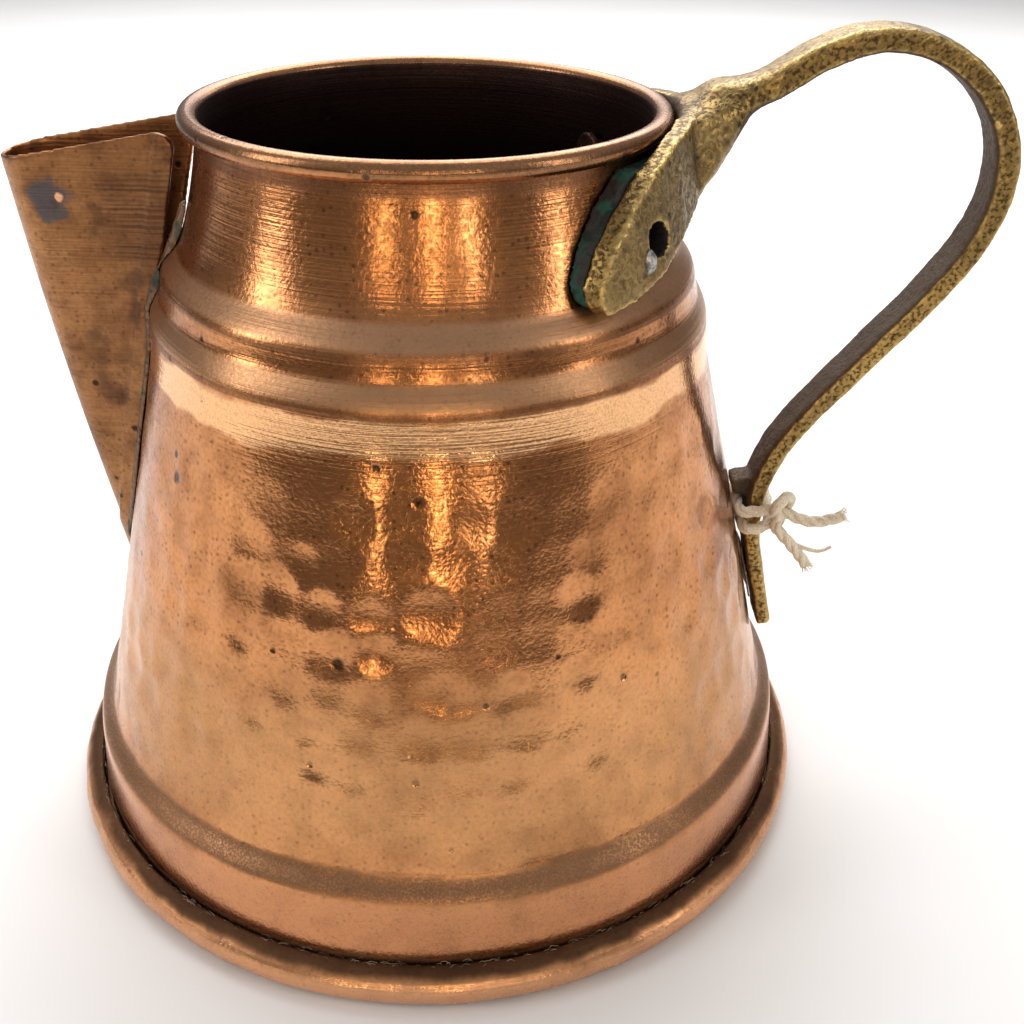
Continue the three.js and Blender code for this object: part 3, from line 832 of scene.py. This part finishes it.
grey_stain = round_stain(tree, spout_place, (-59.6, -6.2, 109.6), 2.9, 7.0)
colour = blend_colours(tree, combine(tree, "MULTIPLY", grey_stain, 0.9), colour, (0.10, 0.095, 0.105, 1))
bright_chip = round_stain(tree, spout_place, (-57.9, -6.2, 109.9), 0.7, 3.2)
colour = blend_colours(tree, bright_chip, colour, (0.95, 0.50, 0.28, 1))
streaks = use_group(tree, blotches, Size=46.0, Detail=6.0, Low=0.48, High=0.62)["Mask"]
scratches = use_group(tree, spin_rings, Spacing=1500.0, Contrast=0.14)["Lines"]
stained = combine(tree, "MULTIPLY", streaks, stretch(tree, scratches, 0.0, 1.0, 0.25, 0.85))
colour = blend_colours(tree, stained, colour, (0.10, 0.048, 0.03, 1))
edge_dirt = use_group(tree, blotches, Size=130.0, Detail=5.0, Low=0.52, High=0.66)["Mask"]
colour = blend_colours(tree, combine(tree, "MULTIPLY", edge_dirt, 0.6), colour, (0.07, 0.035, 0.024, 1))
close_up(tree, shader, colour, rough, relief, 0.00006)

spout = finished("pouring_spout", trough(0, BLOCK_LOW, BLOCK_HIGH), [spout_copper])
hem_mesh = finished("hem_block", trough(-SHEET, BLOCK_LOW, BLOCK_HIGH), [spout_copper])
cut_by(hem_mesh, cone_plug(SEAT_GAP + HEM_WIDTH, 25, 132), "INTERSECT")
hem_copy = bmesh.new()
hem_copy.from_mesh(hem_mesh.data)
cut_by(spout, hem_copy, "UNION")
bpy.data.objects.remove(hem_mesh)
cut_by(spout, trough(SHEET, BLOCK_LOW - 8, BLOCK_HIGH + 8))
cut_by(spout, cone_plug(SEAT_GAP, 5, 145))
cut_by(spout, plug([(r + SEAT_GAP, z) for r, z in BODY_FACE]))
mouth_rise = (SPOUT_TOP - NOSE_TOP) / (NOSE_X - MOUTH_BACK)
corner_z = NOSE_TOP + mouth_rise * (NOSE_X - MOUTH_CORNER)
corner_bend = [(-MOUTH_CORNER, 0), (-39.6, 0.4), (-38.7, 1.3), (-38.3, 2.6), (0, 2.6)]
above_mouth = [
    (-90, NOSE_TOP + mouth_rise * (NOSE_X - 90)),
    *[(x, corner_z - drop) for x, drop in corner_bend],
    (0, 160),
    (-90, 160),
]
cut_by(spout, slab(above_mouth, -30, 30, lambda u, v, deep: Vector((u, deep, v)) * MM))


def reworked(target, voxel, smoothing):
    """Turns a piece into an even fine mesh with its sharp edges eased, ready to be shaped."""
    even = target.modifiers.new("even", "REMESH")
    even.mode = "VOXEL"
    even.voxel_size = voxel * MM
    even.use_smooth_shade = True
    ease = target.modifiers.new("ease", "SMOOTH")
    ease.factor = 0.5
    ease.iterations = smoothing
    bake_modifiers(target)


def shaped(target, move):
    """Moves each point of a piece along its normal by move(point, normal), in millimetres."""
    data = target.data
    moves = [(v.co + v.normal * move(v.co / MM, v.normal) * MM) for v in data.vertices]
    for vertex, place in zip(data.vertices, moves):
        vertex.co = place
    data.update()


def sheet_wave(p, n):
    """The hand-folded sides are not quite flat, and both faces of the sheet move together."""
    return 0.25 * noise.noise(Vector((p.x * 0.07, 0, p.z * 0.05))) * n.y


reworked(spout, 0.34, 3)
shaped(spout, sheet_wave)
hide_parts("pour_spout")


# ------------------------------------------------------------------ solder
# Tin-lead solder run into the corners beside the spout, under each wing and behind the tail.
# It has gone dull and brown, with green copper salts grown on it.


def lumpy_copy(node_name, piece_name, voxel, lump, scale, material):
    """The CAD solid as an even mesh with a hand-run, lumpy surface."""
    made = bpy.data.objects.new(piece_name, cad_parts[node_name].data.copy())
    bpy.context.collection.objects.link(made)
    made.data.materials.clear()
    made.data.materials.append(material)
    reworked(made, voxel, 3)
    shaped(made, lambda p, n: lump * (noise.noise(p * scale) + 0.5 * noise.noise(p * scale * 2.7)))
    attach(made, "root")
    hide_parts(node_name)
    return made


seam_solder, tree, shader = surface("seam_solder")
green = use_group(tree, blotches, Size=300.0, Detail=5.0, Low=0.50, High=0.66)["Mask"]
soot = use_group(tree, blotches, Size=700.0, Detail=3.0, Low=0.5, High=0.66)["Mask"]
colour = blend_colours(tree, green, (0.20, 0.115, 0.07, 1), (0.035, 0.06, 0.045, 1))
colour = blend_colours(tree, combine(tree, "MULTIPLY", soot, 0.7), colour, (0.04, 0.027, 0.02, 1))
tree.links.new(stretch(tree, green, 0.0, 1.0, 0.85, 0.1), shader.inputs["Metallic"])
close_up(tree, shader, colour, stretch(tree, green, 0.0, 1.0, 0.45, 0.9), soot, 0.0003)

# Under the wings the solder bed is painted near black for the shade in the gap between wing and neck.
# Only the green salts on it are its own colour.
bed_salts_and_shade, tree, shader = surface("bed_salts_and_shade")
green = use_group(tree, blotches, Size=420.0, Detail=6.0, Low=0.40, High=0.56)["Mask"]
soot = use_group(tree, blotches, Size=170.0, Detail=5.0, Low=0.44, High=0.58)["Mask"]
colour = blend_colours(tree, green, (0.012, 0.02, 0.016, 1), (0.012, 0.085, 0.055, 1))
colour = blend_colours(tree, soot, colour, (0.025, 0.022, 0.018, 1))
close_up(tree, shader, colour, stretch(tree, soot, 0.0, 1.0, 0.9, 0.7), green, 0.0005)

for near_or_far in ("near", "far"):
    bead = lumpy_copy(
        "spout_solder_" + near_or_far, "spout_seam_" + near_or_far, 0.22, 0.12, 0.6, seam_solder
    )
    bed = lumpy_copy(
        "wing_solder_" + near_or_far, "wing_bed_" + near_or_far, 0.3, 0.2, 0.8, bed_salts_and_shade
    )
tail_pad = lumpy_copy("tail_solder", "tail_pad", 0.15, 0.05, 1.1, seam_solder)


# ------------------------------------------------------------------ handle
# One rough sand casting in yellow brass: a flat strap with a small boss behind it, a lump where
# it meets the rim, and two leaf-shaped wings that hug the neck. Gold on its edges, black in pits.
# The faces turned to the body, the boss and the insides of the rivet holes are painted dark as shade.

STRAP_LINE = [
    (44.5, 121.5), (52.5, 128.4), (60.5, 133.0), (68, 134.9), (76, 133.7), (83.5, 129.2),
    (88.7, 121.6), (90, 113), (88, 104.8), (82.8, 96), (75, 85.8), (65, 72.8), (60.5, 65.5),
    (58.5, 59.5), (58.0, 55), (57.9, 50.5), (59.5, 42), (61.2, 35), (62.7, 29),
]
ROOT_TOP, ROOT_END, ROOT_HALF, ROOT_FADE = 100, 53.5, 9.5, 3  # where strap and wings melt together
# Both values mark places that the brass paints dark as shade.
OVER_BODY, IN_HOLE = -1.0, -2.0  # facing_out where the casting looks at the body, and in the hole
strap_route = smooth_route([(x, 0, z) for x, z in STRAP_LINE], 1.0)
handle = bpy.data.objects.new("cast_handle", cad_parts["handle"].data.copy())
bpy.context.collection.objects.link(handle)
reworked(handle, 0.4, 8)
root_group = handle.vertex_groups.new(name="root")
for vertex in handle.data.vertices:
    x, y, z = vertex.co / MM
    if z > ROOT_TOP:
        lengthwise = min(1.0, max(0.0, (ROOT_END - x) / ROOT_FADE))
        sideways = min(1.0, max(0.0, (ROOT_HALF - abs(y)) / ROOT_FADE))
        root_group.add([vertex.index], lengthwise * sideways, "REPLACE")
root_ease = handle.modifiers.new("root_ease", "SMOOTH")
root_ease.factor = 0.5
root_ease.iterations = 130
root_ease.vertex_group = "root"
bake_modifiers(handle)


def casting_skin(p, n):
    """Sand-cast skin: broad waves, and pits that are deeper on the sides."""
    sides = 0.25 + 0.75 * abs(n.y)
    broad = 0.16 * noise.noise(p * 0.16)
    coarse = 0.07 * noise.noise(p * 0.5)
    fine = noise.noise(p * 1.5) + 0.7 * noise.noise(p * 2.9)
    pit = -0.35 * max(0.0, noise.noise(p * 1.1 + Vector((7, 3, 1))) - 0.3)
    return broad + coarse + sides * (0.075 * fine + pit)


shaped(handle, casting_skin)

# How squarely each point faces away from the jug: 1 outwards, 0 sideways, -1 towards the body.
# On the strap this is measured from its middle line, and on the wings from the jug's axis.
facing = handle.data.attributes.new("facing_out", "FLOAT", "POINT")
for i, vertex in enumerate(handle.data.vertices):
    gap, k = min(((vertex.co - q).length, k) for k, q in enumerate(strap_route))
    near_wing = gap > 6.5 * MM or (vertex.co.x < 0.0455 and abs(vertex.co.y) > 0.0045)
    if near_wing:
        out = Vector((vertex.co.x, vertex.co.y, 0)).normalized()
    else:
        step = strap_route[min(k + 1, len(strap_route) - 1)] - strap_route[max(k - 1, 0)]
        out = Vector((-step.z, 0, step.x)).normalized()
    facing.data[i].value = vertex.normal.dot(out)
    for side in (1, -1):
        flat = Matrix.Rotation(side * WING_TURN, 4, "Z") @ vertex.co / MM
        # Points inside a rivet hole are marked so that the hole is painted near black, as shade.
        if math.hypot(flat.y + side * RIVET_SIDE, flat.z - RIVET_Z) < RIVET_HOLE + 0.1:
            facing.data[i].value = IN_HOLE
    # The boss behind the strap counts as facing the body, so it is painted dark for the shade behind the
    # strap.
    if vertex.co.x < 0.0572 and 0.056 < vertex.co.z < 0.0615:  # the boss behind the strap
        facing.data[i].value = OVER_BODY

cast_brass, tree, shader = surface("cast_brass")
facing_out = put(tree, "ShaderNodeAttribute", attribute_name="facing_out").outputs["Fac"]
edge_height = tree.nodes.new("ShaderNodeNewGeometry").outputs["Pointiness"]
# Painted shade: faces turned towards the body are painted dark brown.
shaded_inner_side = stretch(tree, facing_out, -0.35, -0.75)
grit = use_group(tree, blotches, Size=1500.0, Detail=4.0, Low=0.47, High=0.60)["Mask"]
cloud = use_group(tree, blotches, Size=120.0, Detail=4.0, Low=0.4, High=0.65)["Mask"]
holes = use_group(tree, pits, Size=620.0, Width=0.5, Share=0.4)["Mask"]
raised = stretch(tree, edge_height, 0.50, 0.56)
sunk = stretch(tree, edge_height, 0.50, 0.455)
squareness = put(tree, "ShaderNodeMath", {0: facing_out}, operation="ABSOLUTE").outputs[0]
side_face = stretch(tree, squareness, 0.75, 0.35)
brass_place = put(tree, "ShaderNodeTexCoord").outputs["Object"]
high_up = put(tree, "ShaderNodeSeparateXYZ", {0: brass_place}).outputs[2]
handled = stretch(tree, high_up, 0.085, 0.125)
colour = blend_colours(tree, side_face, (0.30, 0.205, 0.085, 1), (0.46, 0.30, 0.10, 1))
colour = blend_colours(tree, combine(tree, "MULTIPLY", cloud, 0.55), colour, (0.17, 0.115, 0.045, 1))
browned = combine(tree, "MULTIPLY", handled, side_face)
colour = blend_colours(tree, combine(tree, "MULTIPLY", browned, 0.6), colour, (0.12, 0.078, 0.032, 1))
grit_here = combine(tree, "MULTIPLY", grit, stretch(tree, side_face, 0.0, 1.0, 0.3, 0.85))
colour = blend_colours(tree, grit_here, colour, (0.06, 0.036, 0.016, 1))
colour = blend_colours(tree, combine(tree, "MULTIPLY", raised, 0.85), colour, (0.80, 0.56, 0.20, 1))
black = (0.030, 0.020, 0.012, 1)
colour = blend_colours(tree, combine(tree, "MULTIPLY", holes, 0.8), colour, black)
colour = blend_colours(tree, combine(tree, "MULTIPLY", sunk, 0.85), colour, black)
colour = blend_colours(tree, combine(tree, "MULTIPLY", shaded_inner_side, 0.9), colour, (0.055, 0.033, 0.022, 1))
# Painted shade: the inside of each rivet hole is painted near black.
painted_hole_shade = stretch(tree, facing_out, -1.2, -1.6)
colour = blend_colours(tree, painted_hole_shade, colour, (0.006, 0.004, 0.003, 1))
# Pits and the painted shade on the inner faces both make the brass less metallic and rougher.
dirt_and_shade = combine(tree, "MAXIMUM", sunk, shaded_inner_side)
tree.links.new(stretch(tree, dirt_and_shade, 0.0, 1.0, 1.0, 0.45), shader.inputs["Metallic"])
rough = stretch(tree, dirt_and_shade, 0.0, 1.0, 0.36, 0.62)
rough = combine(tree, "ADD", rough, combine(tree, "MULTIPLY", grit, 0.14))
relief = combine(tree, "SUBTRACT", combine(tree, "MULTIPLY", grit, 0.6), holes)
close_up(tree, shader, colour, rough, relief, 0.00018)
handle.data.materials.clear()
handle.data.materials.append(cast_brass)
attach(handle, "root")
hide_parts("handle")


# A drop of solder that ran out beside the empty rivet hole.
drop_turn = Matrix.Rotation(-math.radians(40.6), 4, "Z")
drop_place = drop_turn @ Vector((43.7, 0, 109.0))
drop_mesh = bmesh.new()
bmesh.ops.create_icosphere(drop_mesh, subdivisions=4, radius=1.0)
for vertex in drop_mesh.verts:
    lump = 1 + 0.16 * noise.noise(vertex.co * 1.3 + Vector((3, 1, 4)))
    x, y, z = vertex.co * lump
    spot = drop_turn @ Vector((0.9 * x, 1.15 * y, 1.9 * z))
    vertex.co = (drop_place + spot) * MM
solder_tin, tree, shader = surface("bright_solder", Metallic=0.8)
dull = use_group(tree, blotches, Size=900.0, Detail=3.0, Low=0.4, High=0.62)["Mask"]
close_up(
    tree, shader,
    blend_colours(tree, dull, (0.46, 0.46, 0.46, 1), (0.19, 0.18, 0.17, 1)),
    stretch(tree, dull, 0.0, 1.0, 0.35, 0.65), dull, 0.0002,
)
solder_drop = finished("wing_solder_drop", drop_mesh, [solder_tin])


# ------------------------------------------------------------------ rivet
# The far wing is held by a copper rivet, its head hammered over outside the wing.

HEAD_FROM, HEAD_SEAT = 43.6, 44.3  # radii: where the head begins, and its inner face as cast
WING_R, WING_SLOPE, WING_BASE = 41.3, 0.176, 124  # the wing's outer face, wider further down

rivet_copper, tree, shader, colour, rough, relief = worn_copper(
    "rivet_copper", (0.10, 0.048, 0.033, 1), (0.05, 0.026, 0.02, 1), (0.02, 0.012, 0.01, 1),
    gloss=0.45,
)
close_up(tree, shader, colour, rough, relief, 0.0001)
rivet = lumpy_copy("wing_rivet_far", "wing_rivet", 0.22, 0.12, 0.7, rivet_copper)
for vertex in rivet.data.vertices:
    # The head is beaten down onto the curve of the wing.
    flat = Matrix.Rotation(-WING_TURN, 4, "Z") @ vertex.co / MM
    if flat.x > HEAD_FROM:
        wing_face = WING_R + (WING_BASE - flat.z) * WING_SLOPE
        flat.x += math.sqrt(wing_face ** 2 - flat.y ** 2) - HEAD_SEAT
        vertex.co = Matrix.Rotation(WING_TURN, 4, "Z") @ flat * MM
